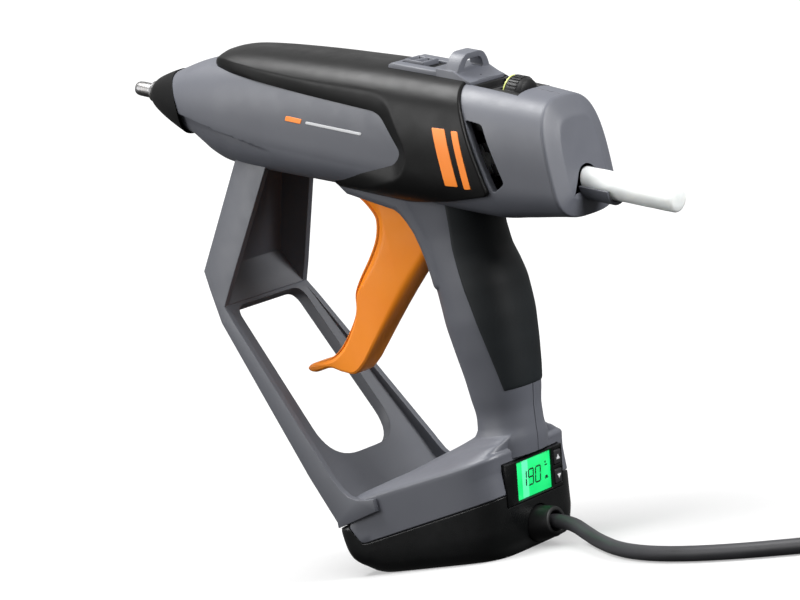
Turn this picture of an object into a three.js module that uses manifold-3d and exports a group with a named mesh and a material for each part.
// Hot-melt glue gun with a stand bracket: casing halves, cover, soft grip, trigger and feed train,
// heater and nozzle, display base, and a coiled mains lead.
//
// Millimetres, +Z up. The gun stands on the flat bottom of its base (z = 0) with the nozzle towards -X;
// the barrel is pitched nose up by BARREL_TILT. Barrel pieces are drawn in the barrel's own frame: its
// x axis runs rearwards along the glue stick, with the origin near the stick hole in the rear face.

import * as THREE from 'three';
import { mergeVertices } from 'three/addons/utils/BufferGeometryUtils.js';
import Module from 'manifold-3d';

const wasm = await Module();
wasm.setup();

// ---------------------------------------------------------------- driving dimensions
const GAP = 0.3;                                   // clearance between neighbouring pieces
const BARREL_TILT = THREE.MathUtils.degToRad(18);  // nose-up pitch of the barrel
const BARREL_ORIGIN = new THREE.Vector3(80, 0, 143);
const REAR_FACE_X = 75;                            // upright rear face of the casing
const NOSE_PLANE_X = -132.1;                       // upright joint between casing and nozzle shield
const CASING_WALL = 4.6;
const REAR_WALL = 5;
const COVER_REBATE = 2;                            // how deep the cover is let into the casing
const SKIN = 2.4;                                  // wall of the handle and the base
const STICK_RADIUS = 5.6;
const STICK_BORE = 6.3;
const PIVOT = { x: -112, z: -13 };                 // trigger pin, barrel frame
const BASE_POWER = 6;                              // squareness of the base outline
const SEAM_HEIGHT = 24;                            // grey and black halves of the base meet on this
const SEAM_SLOPE = 0.16;                           // sloping plane: z = SEAM_HEIGHT + SEAM_SLOPE * x
const SHOULDER_SLOPE = 0.1325;                     // rise of the base's shoulder towards the rear
const BRACKET_REAR_X = -48.5;                      // where the bracket's foot meets the casing's base
const DISPLAY_TILT = THREE.MathUtils.degToRad(12.4);
const DISPLAY_ORIGIN = new THREE.Vector3(11.2, 0, 31);
const CORD_RADIUS = 3;
const CORD_EXIT = { x: 16.5, z: 9 };
const COIL = { x: 214, y: -10, inner: 24, outer: 42, height: 18 };
const CORD_LIE = COIL.outer + CORD_RADIUS + GAP;   // where the lead passes the coil, from its centre

// ---------------------------------------------------------------- colours and finishes
const finish = (color, roughness, metalness = 0) =>
  new THREE.MeshStandardMaterial({ color, roughness, metalness });
const GREY = 0x63656b, BLACK = 0x1c1c1d, RUBBER = 0x15171a, ORANGE = 0xf28a1e;
const STEEL = 0xa9a9ab, ALUMINIUM = 0xb9bbbd, BRASS = 0xb99a55, CLEAR = 0xe6e8e8;

// ---------------------------------------------------------------- solids
const object = new THREE.Group();
const barrel = new THREE.Group();
barrel.position.copy(BARREL_ORIGIN);
barrel.rotation.y = BARREL_TILT;
const display = new THREE.Group();
display.position.copy(DISPLAY_ORIGIN);
display.rotation.y = DISPLAY_TILT;
object.add(barrel, display);
object.updateMatrixWorld(true);

/** A closed geometry as a manifold solid, without repeated corners or empty triangles. */
function solid(geometry) {
  geometry.deleteAttribute('normal');
  geometry.deleteAttribute('uv');
  const merged = mergeVertices(geometry, 1e-4);
  const index = merged.index.array, triangles = [];
  for (let i = 0; i < index.length; i += 3) {
    const [a, b, c] = [index[i], index[i + 1], index[i + 2]];
    if (a !== b && b !== c && c !== a) triangles.push(a, b, c);
  }
  return new wasm.Manifold(new wasm.Mesh({
    numProp: 3,
    vertProperties: new Float32Array(merged.attributes.position.array),
    triVerts: new Uint32Array(triangles),
  }));
}

/** A manifold solid as a three.js geometry. */
function geometryOf(manifold) {
  const mesh = manifold.getMesh();
  const geometry = new THREE.BufferGeometry();
  geometry.setAttribute('position', new THREE.BufferAttribute(new Float32Array(mesh.vertProperties), 3));
  geometry.setIndex(new THREE.BufferAttribute(new Uint32Array(mesh.triVerts), 1));
  geometry.computeVertexNormals();
  return geometry;
}

/** Adds a named piece to a group. */
function piece(name, manifold, material, group = object) {
  const mesh = new THREE.Mesh(geometryOf(manifold), material);
  mesh.name = name;
  group.add(mesh);
}

const moved = (manifold, matrix) => manifold.transform(matrix.elements);
const toObject = (manifold) => moved(manifold, barrel.matrixWorld);
const toBarrel = (manifold) => moved(manifold, barrel.matrixWorld.clone().invert());

/** A box from its lowest to its highest corner. */
function box(x0, x1, y0, y1, z0, z1) {
  const geometry = new THREE.BoxGeometry(x1 - x0, y1 - y0, z1 - z0);
  return solid(geometry.translate((x0 + x1) / 2, (y0 + y1) / 2, (z0 + z1) / 2));
}

/** An outline in the XZ plane, given depth along Y. */
function sidePrism(points, y0, y1) {
  const shape = new THREE.Shape(points.map(([x, z]) => new THREE.Vector2(x, z)));
  const geometry = new THREE.ExtrudeGeometry(shape, { depth: y1 - y0, bevelEnabled: false });
  return solid(geometry.rotateX(Math.PI / 2).translate(0, y1, 0));
}

/** A rod or disc along X, Y or Z from one end to the other. */
function rod(axis, radius, from, to, at = [0, 0], sides = 16, radiusTo = radius) {
  const geometry = new THREE.CylinderGeometry(radiusTo, radius, to - from, sides);
  geometry.translate(0, (from + to) / 2, 0);
  if (axis === 'x') geometry.rotateZ(-Math.PI / 2).translate(0, at[0], at[1]);
  if (axis === 'y') geometry.translate(at[0], 0, at[1]);
  if (axis === 'z') geometry.rotateX(Math.PI / 2).translate(at[0], at[1], 0);
  return solid(geometry);
}

/** A turned piece on the X axis: points are [x, radius], ordered along a closed or axis-ended profile. */
function turned(profile, sides = 24) {
  const points = profile.map(([x, radius]) => new THREE.Vector2(radius, x));
  return solid(new THREE.LatheGeometry(points, sides).rotateZ(-Math.PI / 2));
}

/** A closed skin through rings of equal point count, with fan caps on both ends. */
function loft(rings) {
  const count = rings[0].length, points = rings.flat(), index = [];
  for (let k = 0; k + 1 < rings.length; k += 1) {
    for (let i = 0; i < count; i += 1) {
      const a = k * count + i, b = k * count + (i + 1) % count;
      index.push(a, b, b + count, a, b + count, a + count);
    }
  }
  for (const [start, flip] of [[0, true], [(rings.length - 1) * count, false]]) {
    const middle = points.length;
    const centre = new THREE.Vector3();
    for (let i = 0; i < count; i += 1) centre.addScaledVector(points[start + i], 1 / count);
    points.push(centre);
    for (let i = 0; i < count; i += 1) {
      const a = start + i, b = start + (i + 1) % count;
      index.push(...(flip ? [middle, b, a] : [middle, a, b]));
    }
  }
  const geometry = new THREE.BufferGeometry().setFromPoints(points);
  geometry.setIndex(index);
  const made = solid(geometry);
  if (made.volume() > 0) return made;
  for (let i = 0; i < index.length; i += 3) [index[i], index[i + 1]] = [index[i + 1], index[i]];
  const turnedOut = new THREE.BufferGeometry().setFromPoints(points);
  turnedOut.setIndex(index);
  return solid(turnedOut);
}

/** Points of a rounded-square outline: half sizes a and b, power 2 an ellipse, more is squarer. */
function superellipse(a, b, power, count) {
  return Array.from({ length: count }, (_, i) => {
    const t = (i + 0.5) / count * Math.PI * 2, c = Math.cos(t), s = Math.sin(t);
    return [a * Math.sign(c) * Math.abs(c) ** (2 / power), b * Math.sign(s) * Math.abs(s) ** (2 / power)];
  });
}

// ---------------------------------------------------------------- casing, barrel part
// Stations along the barrel: [x, height above the stick, height below it, half width, power].
const CASING_STATIONS = [
  [-238, 7, 7, 7, 2], [-222, 14.6, 14, 14.4, 2.05], [-212, 19, 16, 17.2, 2.2],
  [-200, 22.6, 17.6, 19.6, 2.4], [-183, 26.4, 18.4, 21.6, 2.7], [-160, 29.5, 19, 23.2, 2.9],
  [-130, 31.6, 19.5, 24.3, 3], [-95, 33.2, 19.6, 24.5, 3], [-60, 34.2, 19.8, 23.6, 3],
  [-40, 33.8, 19.6, 22.6, 3], [-25, 33.2, 17.2, 21.3, 3], [-10, 32.4, 14.4, 20, 3],
  [12, 31, 11, 18.4, 3],
];
const COVER_STATIONS = [
  [-197, 23.2, 18.6, 20.4, 2.4], [-195.5, 26, 18.8, 21, 2.6], [-191, 28.2, 19, 21.8, 2.7],
  [-183, 29.8, 19.2, 22.6, 2.8], [-160, 31.8, 19.8, 24.1, 2.9], [-130, 33.4, 20.3, 25.2, 3],
  [-95, 34.6, 20.4, 25.4, 3], [-55, 34.8, 20.6, 24.4, 3], [-20, 34, 20, 22.6, 3],
];

/** Barrel-shaped solid through a table of stations, made larger or smaller all round by grow. */
function barrelLoft(stations, grow = 0, count = 24) {
  return loft(stations.map(([x, above, below, half, power]) =>
    superellipse(half + grow, 1, power, count).map(([y, unit]) =>
      new THREE.Vector3(x, y, unit * ((unit > 0 ? above : below) + grow)))));
}

// Outline of the black cover seen from the side: a saddle over the top with a wing behind the side panel.
const COVER_OUTLINE = [
  [-199, 20.8], [-95.5, 18.2], [-90.5, 15.8], [-83, 2.8], [-86.3, -2.4], [-107, -10.3], [-125, -17.3],
  [-125, -30], [-108, -30], [-108, -21.5], [-59, -13], [-37, -6.9], [-52.5, 22], [-60.4, 34], [-60.4, 45],
  [-199, 45],
];
const COVER_OUTLINE_GROWN = [
  [-199.3, 20.4], [-95.7, 17.8], [-90.8, 15.5], [-83.4, 2.9], [-86.6, -2.1], [-107.1, -10], [-125.3, -17],
  [-125.3, -31], [-107.7, -31], [-107.7, -21.8], [-58.9, -13.35], [-36.6, -7.1], [-52.2, 22.1],
  [-60.1, 34], [-60.1, 46], [-199.3, 46],
];
const VENT_OUTLINE = [[-51.7, 21.4], [-43.4, 20.6], [-31, -1.6], [-36.2, -6.2]];

const casingCore = barrelLoft(CASING_STATIONS);
const coverBody = barrelLoft(COVER_STATIONS);
const underCover = barrelLoft(CASING_STATIONS, -COVER_REBATE);
const casingCavity = barrelLoft(CASING_STATIONS.filter((_, i) => i % 3 !== 2), -CASING_WALL, 16);
const coverZone = sidePrism(COVER_OUTLINE, -40, 40);
const coverZoneGrown = sidePrism(COVER_OUTLINE_GROWN, -40, 40);

// ---------------------------------------------------------------- handle and base outlines
// Handle stations: [z, centre x, half depth, half width].
const HANDLE_STATIONS = [
  [158, 1.8, 21.4, 18.3], [142, 3.6, 18.6, 16.8], [132, 4.4, 17.2, 16.2], [126, 4.8, 17.2, 16.2],
  [118, 6.3, 17.9, 16.4], [110, 7.3, 18.3, 16.6], [100, 7.4, 18.3, 16.6], [88, 7.4, 17.4, 15.8],
  [76, 7.2, 16, 14.5], [65, 6.3, 14.6, 13.3], [57, 5.4, 13.5, 12.3], [51, 4.4, 13.6, 12.8],
  [46, 3, 14.4, 15], [30, 1, 12, 14],
];
const handleLoft = (grow = 0) => loft(HANDLE_STATIONS.map(([z, x, depth, width]) =>
  superellipse(depth + grow, width + grow, 2.3, 20).map(([dx, y]) => new THREE.Vector3(x + dx, y, z))));

// Base stations: [z, centre x, half length, half width]; the outline narrows towards the rear.
const BASE_STATIONS = [
  [0, -30, 34.5, 27.5], [2, -31.2, 36.6, 30], [5.3, -32.3, 38.3, 31.8], [12, -32, 39.8, 32.8],
  [26, -30.5, 40.5, 33], [34, -29.4, 41.2, 33],
];
const BASE_TAPER = 0.1;

/** One outline of the base; rise lifts the rear of the outline above its front. */
function baseRing([z, x, length, width], grow = 0, rise = 0) {
  return superellipse(length + grow, width + grow, BASE_POWER, 24).map(([dx, y]) =>
    new THREE.Vector3(x + dx, y * (1 - BASE_TAPER * dx / length), z + rise * (x + dx + 30)));
}

/** The whole base: straight sides below, a sloping shoulder and a flare up to the handle. */
function baseLoft(grow = 0) {
  const lower = BASE_STATIONS.map((station, i) =>
    baseRing([station[0] + (i ? 0 : -grow), ...station.slice(1)], grow));
  const shoulder = [
    baseRing([36.6 + grow, -28.9, 41.4, 32.8], grow, SHOULDER_SLOPE),
    baseRing([38.4 + grow, -28, 39.5, 30.6], grow, SHOULDER_SLOPE),
    baseRing([41.5 + grow, -13, 25.5, 23], grow, 0.12),
    baseRing([45.5 + grow, -2, 15.4, 17.4], grow, 0.06),
    baseRing([49.5 + grow, 3.2, 12.4, 13], grow, 0),
  ];
  return loft([...lower, ...shoulder]);
}

const aboveSeam = sidePrism([[-90, SEAM_HEIGHT - 90 * SEAM_SLOPE], [40, SEAM_HEIGHT + 40 * SEAM_SLOPE],
  [40, 70], [-90, 70]], -50, 50);
const belowSeam = sidePrism([[-90, -5], [40, -5], [40, SEAM_HEIGHT - GAP + 40 * SEAM_SLOPE],
  [-90, SEAM_HEIGHT - GAP - 90 * SEAM_SLOPE]], -50, 50);

// ---------------------------------------------------------------- stand bracket
// The foot's sloping underside rests on the casing's base.
const FOOT_BOTTOM = { front: 22.4, rear: 27.8 };
// Outer edge of the bracket's side walls, and the hollow behind its front wall, seen from the side.
const BRACKET_OUTLINE = [
  [-88, 190], [-99.5, 182], [-125.2, 138.4], [-118.2, 115.5], [-71.6, 25], [-71.6, FOOT_BOTTOM.front],
  [BRACKET_REAR_X, FOOT_BOTTOM.rear], [BRACKET_REAR_X, 33], [-56, 33.2], [-61.5, 34.4], [-66, 38.2], [-73.4, 50.4],
  [-115.2, 122], [-81.8, 176.7], [-76, 190],
];
const BRACKET_HOLLOW = [
  [-88, 195], [-96.7, 182], [-121.2, 138], [-113.6, 119], [-81.6, 56.5], [-71.8, 37], [-64, 31.2],
  [-54, 30.4], [-40, 30.4], [-40, 60], [-90, 110], [-60, 195],
];
/** Space inside the bracket's side walls: half width by height. */
const bracketSpan = (inset) => loft([[5, 36], [45, 34.4], [115, 27.8], [130, 25.4], [200, 11.2]]
  .map(([z, half]) => [[-140, -1], [20, -1], [20, 1], [-140, 1]].map(([x, side]) =>
    new THREE.Vector3(x, side * (half - inset), z))));

/** Rounded window through the front wall, along the sloping lower leg. */
function bracketWindow() {
  const legStart = new THREE.Vector3(-117.8, 0, 115.5), legTop = 3, legBottom = 70;
  const topHalf = 18.5, bottomHalf = 20, corner = 5, bottomCorner = 12;
  const along = new THREE.Vector3(0.467, 0, -0.884), across = new THREE.Vector3(0, 1, 0);
  const shape = new THREE.Shape();
  shape.moveTo(legTop, -topHalf + corner);
  shape.lineTo(legTop, topHalf - corner);
  shape.quadraticCurveTo(legTop, topHalf, legTop + corner, topHalf);
  shape.lineTo(legBottom - bottomCorner, bottomHalf);
  shape.quadraticCurveTo(legBottom, bottomHalf, legBottom, bottomHalf - bottomCorner);
  shape.lineTo(legBottom, bottomCorner - bottomHalf);
  shape.quadraticCurveTo(legBottom, -bottomHalf, legBottom - bottomCorner, -bottomHalf);
  shape.lineTo(legTop + corner, -topHalf);
  shape.quadraticCurveTo(legTop, -topHalf, legTop, corner - topHalf);
  const geometry = new THREE.ExtrudeGeometry(shape, { depth: 60, bevelEnabled: false, curveSegments: 5 });
  geometry.translate(0, 0, -25);
  const frame = new THREE.Matrix4().makeBasis(along, across, along.clone().cross(across));
  return solid(geometry.applyMatrix4(frame.setPosition(legStart)));
}

const bracket = sidePrism(BRACKET_OUTLINE, -40, 40).intersect(bracketSpan(0))
  .subtract(sidePrism(BRACKET_HOLLOW, -40, 40).intersect(bracketSpan(2.8)))
  .subtract(bracketWindow())
  .subtract(toObject(barrelLoft(CASING_STATIONS, GAP)));
/** Everything above the foot's underside, ahead of the seam between bracket and casing. */
const footRoom = sidePrism([[-90, FOOT_BOTTOM.front - GAP - 4.3], [BRACKET_REAR_X + GAP, FOOT_BOTTOM.rear - GAP],
  [BRACKET_REAR_X + GAP, 60], [-90, 60]], -50, 50);

// ---------------------------------------------------------------- casing halves
// The slot that the trigger swings in, and the neck that carries its walls down into the handle.
const NECK_OUTLINE = [[-52, 170], [-42, 158.5], [-29, 152.8], [-16.9, 147.6], [-10.8, 137], [-8.2, 126],
  [-7, 112], [6, 112], [12, 170]];
const TRIGGER_SLOT = [[-58, 140], [-58, 176], [-14, 172], [9, 158], [12, 141], [7, 124], [-4, 112],
  [-20, 112]];
const SLOT_HALF = 8.8;

// Front edge of the soft grip, then round behind the handle.
const GRIP_OUTLINE = [[12.5, 156], [10.6, 140], [9.8, 128], [10.6, 116], [12.6, 101], [14.2, 85], [15, 72],
  [15, 65.5], [45, 65.5], [45, 156]];
const GRIP_OUTLINE_GROWN = GRIP_OUTLINE.map(([x, z]) => [x < 20 ? x - GAP : x, z < 70 ? z - GAP : z]);
const GRIP_THICKNESS = 2.2;

function casingSolid() {
  const noseAndRear = box(NOSE_PLANE_X, REAR_FACE_X, -40, 40, 60, 260);
  const barrelPart = toObject(casingCore.subtract(coverZoneGrown.subtract(underCover)))
    .intersect(noseAndRear);
  const coverRoom = toObject(barrelLoft(COVER_STATIONS, GAP).intersect(coverZoneGrown));
  const neck = sidePrism(NECK_OUTLINE, -14.6, 14.6).subtract(coverRoom);
  const gripRoom = sidePrism(GRIP_OUTLINE_GROWN, -30, 30).subtract(handleLoft(-GRIP_THICKNESS - GAP));
  const handle = handleLoft().subtract(coverRoom).subtract(gripRoom.subtract(toObject(casingCore)));
  const basePart = baseLoft().intersect(aboveSeam).subtract(footRoom);
  const outside = barrelPart.add(neck).add(handle).add(basePart);

  const handleCavity = loft(HANDLE_STATIONS.filter((_, i) => i % 3 === 1).map(([z, x, depth, width]) =>
    superellipse(depth - SKIN - 2.6, width - SKIN - 2.6, 2.3, 12)
      .map(([dx, y]) => new THREE.Vector3(x + dx, y, z))));
  const baseCavity = loft([
    baseRing([-10, -30, 37, 29]), baseRing([33, -29.5, 38, 29]), baseRing([40, -4, 14, 14]),
    baseRing([46, 3, 8, 8]),
  ]).subtract(box(-100, BRACKET_REAR_X + 2.6, -60, 60, -20, 60));
  const barrelCavity = toObject(casingCavity.subtract(barrelRibs()))
    .intersect(box(-300, REAR_FACE_X - REAR_WALL, -40, 40, 60, 260));
  const hollow = barrelCavity.add(handleCavity).add(baseCavity)
    .add(sidePrism(TRIGGER_SLOT, -SLOT_HALF, SLOT_HALF));
  return outside.subtract(hollow).add(bosses()).subtract(casingOpenings());
}

/** Cross walls inside the barrel: one holds the inlet sleeve, one the rear ends of the guide rods. */
function barrelRibs() {
  return box(-142.6, -139.4, -30, 30, -30, 30).add(box(-104, -101, -30, 30, -30, 30))
    .add(box(-62, -59.4, -30, 30, -30, 30));
}

/** Bosses that hold the trigger pin, clear of the trigger's cheeks. */
function bosses() {
  const sleeve = rod('y', 4.6, 9.1, 23, [PIVOT.x, PIVOT.z]).add(rod('y', 4.6, -23, -9.1, [PIVOT.x, PIVOT.z]));
  return toObject(sleeve.intersect(underCover));
}

/** Holes through the casing: stick, rods, pin, vents, thumbwheel, display and screws. */
function casingOpenings() {
  const inBarrel = rod('x', 7.9, -20, 20, [0, 0], 18)
    .add(rod('x', 9.4, -145, -138, [0, 0], 20)).add(rod('x', STICK_BORE + 0.7, -106, -58))
    .add(box(-105, -98, -9.2, 9.2, -30, 10))
    .add(rod('x', 1.85, -145, -100, [12, -6], 10)).add(rod('x', 1.85, -145, -100, [-12, -6], 10))
    .add(rod('y', 2.3, -19, 19, [PIVOT.x, PIVOT.z], 12))
    .add(sidePrism(VENT_OUTLINE, 15, 40)).add(sidePrism(VENT_OUTLINE, -40, -15))
    .add(box(-75.3, -57.3, -11.3, 11.3, 32.1, 50)).add(box(-57.4, -33.3, -10.8, 10.8, 26.7, 50))
    .add(box(-46, -34.8, -7.8, 7.8, 20, 34));
  const displayPocket = moved(box(-7.6, 12, -18.9, 18.9, -11.4, 11.9), display.matrixWorld);
  return toObject(inBarrel).add(displayPocket);
}

const casing = casingSolid();
const SCREWS = [
  { at: [-186, 15.4], seat: 13.5, frame: 'barrel' }, { at: [-150, -14.6], seat: 13.5, frame: 'barrel' },
  { at: [-70, 24], seat: 13.5, frame: 'barrel' }, { at: [-20, 16], seat: 13.5, frame: 'barrel' },
  { at: [13.4, 117], seat: 9.5, frame: 'object' }, { at: [8, 60], seat: 9.5, frame: 'object' },
  { at: [-34, 31], seat: 13.5, frame: 'object' },
];
const SCREW = { shank: 1.5, head: 3.2, bossRadius: 3.6 };

/** Screw bosses: a post in each half that meets at the middle plane, and the stepped hole through them. */
function screwPosts() {
  return SCREWS.map(({ at, frame }) => {
    const post = rod('y', SCREW.bossRadius, -26, 26, at, 8);
    return frame === 'barrel' ? toObject(post) : post;
  });
}

/** The driven side's counterbore and the blind hole for each screw. */
function screwHoles() {
  return SCREWS.map(({ at, seat, frame }) => {
    const hole = rod('y', SCREW.shank + GAP, -8.6, 40, at, 8)
      .add(rod('y', SCREW.head + GAP, seat - 2 - GAP, 40, at, 10));
    return frame === 'barrel' ? toObject(hole) : hole;
  });
}

/** One pan-head screw, its head in the counterbore of the right half. */
function screwSolid({ at, seat }) {
  const slot = box(-0.45, 0.45, seat - 0.7, 40, -2.4, 2.4).translate([at[0], 0, at[1]]);
  return rod('y', SCREW.shank, -8, seat - 1, at, 8).add(rod('y', SCREW.head, seat - 2, seat, at, 10))
    .subtract(slot);
}

const postRoom = toObject(underCover).add(handleLoft(-GRIP_THICKNESS - GAP))
  .add(baseLoft(-1).intersect(aboveSeam));
const postedCasing = screwPosts().reduce((made, post) => made.add(post.intersect(postRoom)), casing);
const drilledCasing = screwHoles().reduce((made, hole) => made.subtract(hole), postedCasing);

/** The largest connected body of a cut solid, without slivers that hang on by an edge. */
function mainBody(manifold) {
  return solid(geometryOf(manifold)).decompose().sort((a, b) => b.volume() - a.volume())[0];
}

piece('housing_left', mainBody(drilledCasing.intersect(box(-300, 200, -60, -GAP / 2, -5, 300))),
  finish(GREY, 0.55));
piece('housing_right', mainBody(drilledCasing.intersect(box(-300, 200, GAP / 2, 60, -5, 300))),
  finish(GREY, 0.55));

// ---------------------------------------------------------------- cover, tray, switch, hanging eye, wheel
const TRAY = { x0: -105, x1: -75, half: 11, z0: 32.5, z1: 35.6 };
const cover = coverBody.intersect(coverZone)
  .subtract(barrelLoft(CASING_STATIONS, GAP - COVER_REBATE))
  .subtract(box(TRAY.x0 - GAP, -50, -TRAY.half - GAP, TRAY.half + GAP, 27, 50))
  .subtract(toBarrel(sidePrism(TRIGGER_SLOT, -SLOT_HALF, SLOT_HALF)));
piece('top_cover', mainBody(cover), finish(BLACK, 0.42), barrel);

const trayBlank = box(TRAY.x0, TRAY.x1, -TRAY.half, TRAY.half, TRAY.z0, TRAY.z1);
piece('switch_tray', trayBlank.subtract(box(-101, -83, -5.3, 5.3, 33.8, 40)), finish(GREY, 0.5), barrel);
piece('power_switch', box(-100.4, -88.6, -5, 5, 34.1, 36.6)
  .subtract(box(-98.6, -95.4, -6, 2.6, 35.3, 40)).subtract(box(-93.6, -90.4, -6, 2.6, 35.3, 40)),
finish(GREY, 0.5), barrel);
piece('switch_block', box(-99, -85, -6, 6, 14, 26), finish(BLACK, 0.5), barrel);

/** Loop for hanging the gun up: an arch across the barrel on a sloping foot. */
function hangingEye() {
  const foot = sidePrism([[-74.7, 32.5], [-57.7, 32.5], [-57.7, 33.6], [-63, 36.5], [-74.7, 36.5]], -11, 11);
  const arch = new THREE.Shape();
  arch.moveTo(-11, 34);
  arch.lineTo(-8.6, 42);
  arch.quadraticCurveTo(-7.4, 46, -3, 46);
  arch.lineTo(3, 46);
  arch.quadraticCurveTo(7.4, 46, 8.6, 42);
  arch.lineTo(11, 34);
  const opening = new THREE.Path();
  opening.moveTo(-5.6, 37.4);
  opening.lineTo(5.6, 37.4);
  opening.lineTo(4.2, 42.4);
  opening.lineTo(-4.2, 42.4);
  arch.holes.push(opening);
  const geometry = new THREE.ExtrudeGeometry(arch, { depth: 8.5, bevelEnabled: false, curveSegments: 4 });
  const across = new THREE.Matrix4().makeBasis(new THREE.Vector3(0, 1, 0), new THREE.Vector3(0, 0, 1),
    new THREE.Vector3(1, 0, 0));
  return foot.add(solid(geometry.applyMatrix4(across).translate(-74.7, 0, 0)));
}
piece('hanging_eye', hangingEye(), finish(GREY, 0.5), barrel);

const WHEEL = { x0: -45, x1: -35.4, z: 30.4, radius: 7, shaft: 1.2 };
const wheelNotches = Array.from({ length: 12 }, (_, i) => {
  const angle = i / 12 * Math.PI * 2;
  return box(WHEEL.x0 - 1, WHEEL.x1 + 1, -0.5, 0.5, -0.5, 0.5).translate([0, WHEEL.radius * Math.sin(angle),
    WHEEL.z + WHEEL.radius * Math.cos(angle)]);
});
piece('flow_wheel', wheelNotches.reduce((wheel, notch) => wheel.subtract(notch),
  rod('x', WHEEL.radius, WHEEL.x0, WHEEL.x1, [0, WHEEL.z], 24)).subtract(rod('x', WHEEL.shaft + GAP, -50, -30, [0, WHEEL.z], 10)),
finish(BLACK, 0.45), barrel);
piece('wheel_cradle', box(-57, -33.6, -10.5, 10.5, 27, 32)
  .subtract(box(WHEEL.x0 - 0.4, WHEEL.x1 + 0.4, -7.4, 7.4, 20, 40))
  .subtract(rod('x', WHEEL.shaft + GAP, -50, -34, [0, WHEEL.z], 10)), finish(BLACK, 0.5), barrel);
piece('wheel_shaft', rod('x', WHEEL.shaft, -49.6, -34.4, [0, WHEEL.z], 10), finish(STEEL, 0.35, 1), barrel);

/** A louvred plate that fills a vent in the side of the casing. */
function ventGrille(side) {
  const inset = [[-50.7, 20.6], [-43.8, 20], [-32, -1.3], [-36.1, -5]];
  let plate = sidePrism(inset, side > 0 ? 17.2 : -19.6, side > 0 ? 19.6 : -17.2);
  for (const [x, z] of [[-45.6, 15.2], [-41.2, 7], [-37, -0.6]]) {
    plate = plate.subtract(box(x - 2.6, x + 1.6, -30, 30, z - 2.3, z + 2));
  }
  return plate;
}
piece('vent_grille_left', ventGrille(-1), finish(BLACK, 0.5), barrel);
piece('vent_grille_right', ventGrille(1), finish(BLACK, 0.5), barrel);

// ---------------------------------------------------------------- soft grip
piece('soft_grip', mainBody(handleLoft().intersect(sidePrism(GRIP_OUTLINE, -30, 30))
  .subtract(handleLoft(-GRIP_THICKNESS)).subtract(toObject(barrelLoft(CASING_STATIONS, GAP)))
  .subtract(sidePrism(NECK_OUTLINE, -14.9, 14.9))), finish(RUBBER, 0.8));

// ---------------------------------------------------------------- trigger and feed train
const TRIGGER_OUTLINE = [
  [-47, 163], [-42, 156.5], [-38.2, 151], [-36.4, 145], [-39, 137.5], [-45, 130], [-53, 122], [-57.6, 116],
  [-59.4, 109], [-63.6, 103], [-72, 95], [-80, 90.6], [-92.4, 89], [-94.5, 86.6], [-91, 85], [-82, 86],
  [-75, 83.4], [-68, 82], [-60, 86.6], [-9, 128], [-5, 134], [-9, 148], [-22, 162], [-30, 168],
];
const CHEEK = { inner: 6.1, outer: 8.1, hub: 5.6 };

/** Trigger blade with a bevelled front edge, and two cheeks that straddle the stick above the pin. */
function triggerSolid() {
  const blade = sidePrism(TRIGGER_OUTLINE, -8, 8);
  const bladeInBarrel = toBarrel(blade).add(rod('y', CHEEK.hub, -CHEEK.outer, CHEEK.outer,
    [PIVOT.x, PIVOT.z], 20));
  const arm = sidePrism([[PIVOT.x - 4, PIVOT.z], [PIVOT.x + 4.5, PIVOT.z], [PIVOT.x + 1.5, 9],
    [PIVOT.x - 4, 9]], -CHEEK.outer, CHEEK.outer);
  const springRoom = rod('y', 7.2, -CHEEK.inner, CHEEK.inner, [PIVOT.x, PIVOT.z], 20)
    .add(box(-130, -95, -CHEEK.inner, CHEEK.inner, -9.5, 20));
  return mainBody(bladeInBarrel.add(arm).subtract(springRoom)
    .subtract(rod('y', 2.3, -20, 20, [PIVOT.x, PIVOT.z], 12)));
}
piece('trigger', triggerSolid(), finish(ORANGE, 0.4), barrel);
piece('trigger_pin', rod('y', 1.95, -15.5, 15.5, [PIVOT.x, PIVOT.z], 12), finish(STEEL, 0.3, 1), barrel);

/** Torsion spring round the trigger pin. */
function triggerSpring() {
  const turns = 4, radius = 4, steps = turns * 9, length = 9;
  const points = Array.from({ length: steps + 1 }, (_, i) => {
    const angle = i / steps * turns * Math.PI * 2;
    return new THREE.Vector3(PIVOT.x + radius * Math.cos(angle), (i / steps - 0.5) * length,
      PIVOT.z + radius * Math.sin(angle));
  });
  const wire = new THREE.Shape(Array.from({ length: 4 }, (_, i) => new THREE.Vector2(
    0.65 * Math.cos(i / 4 * Math.PI * 2), 0.65 * Math.sin(i / 4 * Math.PI * 2))));
  return solid(new THREE.ExtrudeGeometry(wire, { steps, extrudePath: new THREE.CatmullRomCurve3(points) }));
}
piece('trigger_spring', triggerSpring(), finish(STEEL, 0.3, 1), barrel);

const CARRIAGE = { x0: -131, x1: -119, half: 15 };
const lug = (side) => box(CARRIAGE.x1 - 1, PIVOT.x - 4.4, side > 0 ? CHEEK.inner + 0.3 : -CHEEK.outer,
  side > 0 ? CHEEK.outer : -CHEEK.inner - 0.3, 3, 10);
piece('feed_carriage', box(CARRIAGE.x0, CARRIAGE.x1, -CARRIAGE.half, CARRIAGE.half, -9.6, 11)
  .add(lug(1)).add(lug(-1)).subtract(rod('x', STICK_BORE, -150, -100, [0, 0], 20))
  .subtract(box(-129.3, -120.7, -3.3, 3.3, 5.9, 12))
  .subtract(rod('x', 1.9, -150, -100, [12, -6], 10)).subtract(rod('x', 1.9, -150, -100, [-12, -6], 10)),
finish(BLACK, 0.5), barrel);
piece('stick_gripper', sidePrism([[-129, 6.2], [-126, 5.95], [-121, 12.5], [-124, 14]], -3, 3),
  finish(STEEL, 0.3, 1), barrel);
for (const [name, y] of [['guide_rod_left', -12], ['guide_rod_right', 12]]) {
  piece(name, rod('x', 1.5, -141.5, -101.5, [y, -6], 12), finish(STEEL, 0.25, 1), barrel);
}
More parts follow.
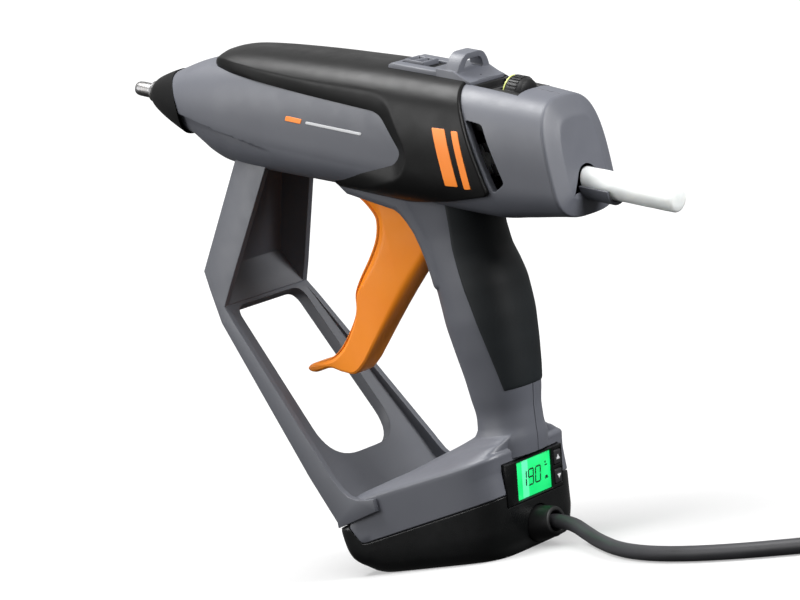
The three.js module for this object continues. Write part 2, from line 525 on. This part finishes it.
piece('glue_stick', rod('x', STICK_RADIUS, -148, 38.4, [0, 0], 18), finish(CLEAR, 0.35), barrel);
piece('stick_guide', rod('x', 7.6, -14, 9, [0, 0], 18).subtract(rod('x', STICK_BORE, -20, 20, [0, 0], 18))
  .subtract(toBarrel(box(REAR_FACE_X + 0.4, 120, -20, 20, 100, 200)).intersect(box(-20, 30, -20, 20, -0.6, 20))),
finish(CLEAR, 0.4), barrel);

// ---------------------------------------------------------------- heater, nozzle and shield
piece('heater_block', turned([[-214, 2.2], [-214, 8.4], [-205, 8.4], [-203, 11.2], [-153, 11.2],
  [-153, STICK_BORE], [-206, STICK_BORE], [-210, 2.2], [-214, 2.2]], 18), finish(ALUMINIUM, 0.4, 1), barrel);
for (const [name, side] of [['heater_plate_left', -1], ['heater_plate_right', 1]]) {
  piece(name, box(-198, -160, side > 0 ? 11.6 : -13.4, side > 0 ? 13.4 : -11.6, -5, 5),
    finish(BRASS, 0.4, 1), barrel);
}
piece('inlet_sleeve', turned([[-152.6, STICK_BORE], [-152.6, 9], [-138.6, 9], [-138.6, STICK_BORE],
  [-152.6, STICK_BORE]], 16), finish(0xb8452e, 0.6), barrel);
piece('sleeve_clip', turned([[-149, 9.3], [-149, 10.4], [-145.5, 10.4], [-145.5, 9.3], [-149, 9.3]], 20),
  finish(STEEL, 0.3, 1), barrel);
piece('nozzle', turned([[-254, 1.1], [-254, 2.7], [-252.6, 3.2], [-240, 3.2], [-237, 5.6], [-228, 6.4],
  [-214.4, 6.4], [-214.4, 2.1], [-222, 2.1], [-250, 1.1], [-254, 1.1]], 14), finish(STEEL, 0.3, 1), barrel);
piece('nozzle_collar', turned([[-246, 4.1], [-246, 5.2], [-243.3, 5.8], [-243.3, 4.1], [-246, 4.1]], 6),
  finish(STEEL, 0.3, 1), barrel);
const shieldBlank = turned([[-243, 3.6], [-243, 5.3], [-241, 6.1], [-236, 8.4], [-230, 10.9], [-222, 13.9],
  [-210, 17.4], [-210, 14.9], [-222, 11.4], [-230, 8.4], [-238, 6.2], [-241, 3.6], [-243, 3.6]], 20);
piece('nozzle_shield', shieldBlank.intersect(toBarrel(box(-200, NOSE_PLANE_X - GAP, -40, 40, 150, 260))),
  finish(BLACK, 0.55), barrel);

// ---------------------------------------------------------------- stand bracket and base
piece('stand_bracket', mainBody(bracket), finish(GREY, 0.55));
const shellCavity = loft([baseRing([2.4, -31, 34, 28]), baseRing([6, -31.5, 36, 29.4]),
  baseRing([12, -31.6, 37, 30]), baseRing([60, -30, 37.6, 30])]);
const bezelPocket = moved(box(-7.6, 12, -18.9, 18.9, -11.4, 11.9), display.matrixWorld);
piece('base_shell', baseLoft().intersect(belowSeam).subtract(shellCavity).subtract(bezelPocket)
  .subtract(rod('x', 9.3, -10, 30, [0, CORD_EXIT.z], 24)), finish(BLACK, 0.4));

const lcdHole = [-11.8, 11.3, -7.8, 8.8], buttonY = [12.9, 17.5];
piece('display_bezel', box(-3, 0, -18.6, 18.6, -11.1, 11.6)
  .subtract(box(-5, 2, lcdHole[0], lcdHole[1], lcdHole[2], lcdHole[3]))
  .subtract(box(-5, 2, buttonY[0] - GAP, buttonY[1] + GAP, -7.1, -0.5))
  .subtract(box(-5, 2, buttonY[0] - GAP, buttonY[1] + GAP, 1.1, 7.7)), finish(BLACK, 0.35), display);
piece('lcd_panel', box(-4.2, -0.9, lcdHole[0] + GAP, lcdHole[1] - GAP, lcdHole[2] + GAP, lcdHole[3] - GAP),
  finish(0x27d768, 0.3), display);
piece('display_board', box(-7, -5.4, -17, 17, -10, 10), finish(0x1d5a36, 0.5), display);
piece('button_down', box(-4.2, 0.5, buttonY[0], buttonY[1], -6.8, -0.8), finish(BLACK, 0.5), display);
piece('button_up', box(-4.2, 0.5, buttonY[0], buttonY[1], 1.4, 7.4), finish(BLACK, 0.5), display);
piece('control_board', box(-58, -17, -24, 24, 5, 6.6).add(box(-50, -36, -18, -4, 6, 16))
  .add(box(-32, -20, 2, 18, 6, 14)).add(box(-50, -42, 6, 20, 6, 12)), finish(0x1d5a36, 0.5));

// ---------------------------------------------------------------- mains lead
piece('cord_gland', turned([[-8, 3.5], [-8, 8.9], [7, 8.9], [CORD_EXIT.x, 6.3], [CORD_EXIT.x, 3.5], [-8, 3.5]], 16)
  .translate([0, 0, CORD_EXIT.z]), finish(BLACK, 0.6));
piece('cord_clamp', box(-15, -9, -9, 9, 2.8, 13).subtract(rod('x', 3.3, -20, 0, [0, CORD_EXIT.z], 16)), finish(BLACK, 0.5));

/** A cord tube of a few flat sides along hand-laid points. */
function cordTube(points, steps) {
  const path = new THREE.CatmullRomCurve3(points.map((p) => new THREE.Vector3(...p)), false, 'centripetal');
  const section = new THREE.Shape(Array.from({ length: 8 }, (_, i) => new THREE.Vector2(
    CORD_RADIUS * Math.cos((i + 0.5) / 8 * Math.PI * 2), CORD_RADIUS * Math.sin((i + 0.5) / 8 * Math.PI * 2))));
  return solid(new THREE.ExtrudeGeometry(section, { steps, extrudePath: path }));
}
const LEAD_ROUTE = [
  [-8, 0, 9], [6, 0, 9], [17, -0.2, 8.9], [27, -2.4, 7.2], [37, -7.6, 4.6], [47, -14.6, 3.3], [58, -23, 3.1],
  [71, -32.6, 3.1], [87, -42, 3.1], [106, -49.6, 3.1], [128, -54.4, 3.1], [152, -56.4, 3.1],
  [180, -56.2, 3.1], [COIL.x - 2, COIL.y - CORD_LIE, 3.1],
];
const TAIL_ROUTE = [[COIL.x + 2, COIL.y + CORD_LIE, 3.1], [COIL.x - 10, COIL.y + CORD_LIE, 3.1],
  [COIL.x - 20, COIL.y + CORD_LIE + 0.4, 4.6], [COIL.x - 27, COIL.y + CORD_LIE + 0.8, 6.6]];
piece('power_cord', cordTube(LEAD_ROUTE, 34), finish(0x2a2a2c, 0.7));
piece('cord_tail', cordTube(TAIL_ROUTE, 6), finish(0x2a2a2c, 0.7));

const ringProfile = [[COIL.inner, 0.1], [COIL.outer, 0.1], [COIL.outer, COIL.height], [COIL.inner, COIL.height],
  [COIL.inner, 0.1]].map(([r, z]) => new THREE.Vector2(r, z));
piece('cord_coil', solid(new THREE.LatheGeometry(ringProfile, 32).rotateX(Math.PI / 2)
  .translate(COIL.x, COIL.y, 0)), finish(0x2a2a2c, 0.7));
piece('cord_tie', box(COIL.x + COIL.inner - 1.9, COIL.x + COIL.outer + 1.6, COIL.y - 5, COIL.y + 5, 0.3,
  COIL.height + 1.4).subtract(box(COIL.x + COIL.inner - 0.9, COIL.x + COIL.outer + 0.4, COIL.y - 9, COIL.y + 9, -2,
  COIL.height + GAP)), finish(BLACK, 0.7));

const PLUG = { x: COIL.x - 28.2, y: COIL.y + CORD_LIE + 0.8, z: 6.6 };
piece('plug_body', sidePrism([[PLUG.x - 34, 0.2], [PLUG.x - 16, 0.2], [PLUG.x, 3.4], [PLUG.x, 10], [PLUG.x - 16, 13.4],
  [PLUG.x - 34, 13.4]], PLUG.y - 12.5, PLUG.y + 12.5).intersect(loft([[PLUG.x - 35, 12.5], [PLUG.x - 18, 12.5],
  [PLUG.x - 6, 6], [PLUG.x + 1, 4.4]].map(([x, half]) => [[-half, -2], [half, -2], [half, 20], [-half, 20]].map(([y, z]) =>
  new THREE.Vector3(x, PLUG.y + y, z))))).subtract(rod('x', 2.3, PLUG.x - 37, PLUG.x - 30, [PLUG.y - 9.5, PLUG.z], 12))
  .subtract(rod('x', 2.3, PLUG.x - 37, PLUG.x - 30, [PLUG.y + 9.5, PLUG.z], 12)), finish(BLACK, 0.5));
for (const [name, side] of [['plug_pin_left', -1], ['plug_pin_right', 1]]) {
  piece(name, rod('x', 2, PLUG.x - 53, PLUG.x - 30.4, [PLUG.y + side * 9.5, PLUG.z], 14), finish(BRASS, 0.3, 1));
}

// ---------------------------------------------------------------- casing screws
SCREWS.forEach((screw, i) => {
  const group = screw.frame === 'barrel' ? barrel : object;
  piece(`casing_screw_${i + 1}`, screwSolid(screw), finish(STEEL, 0.3, 1), group);
});

export default object;
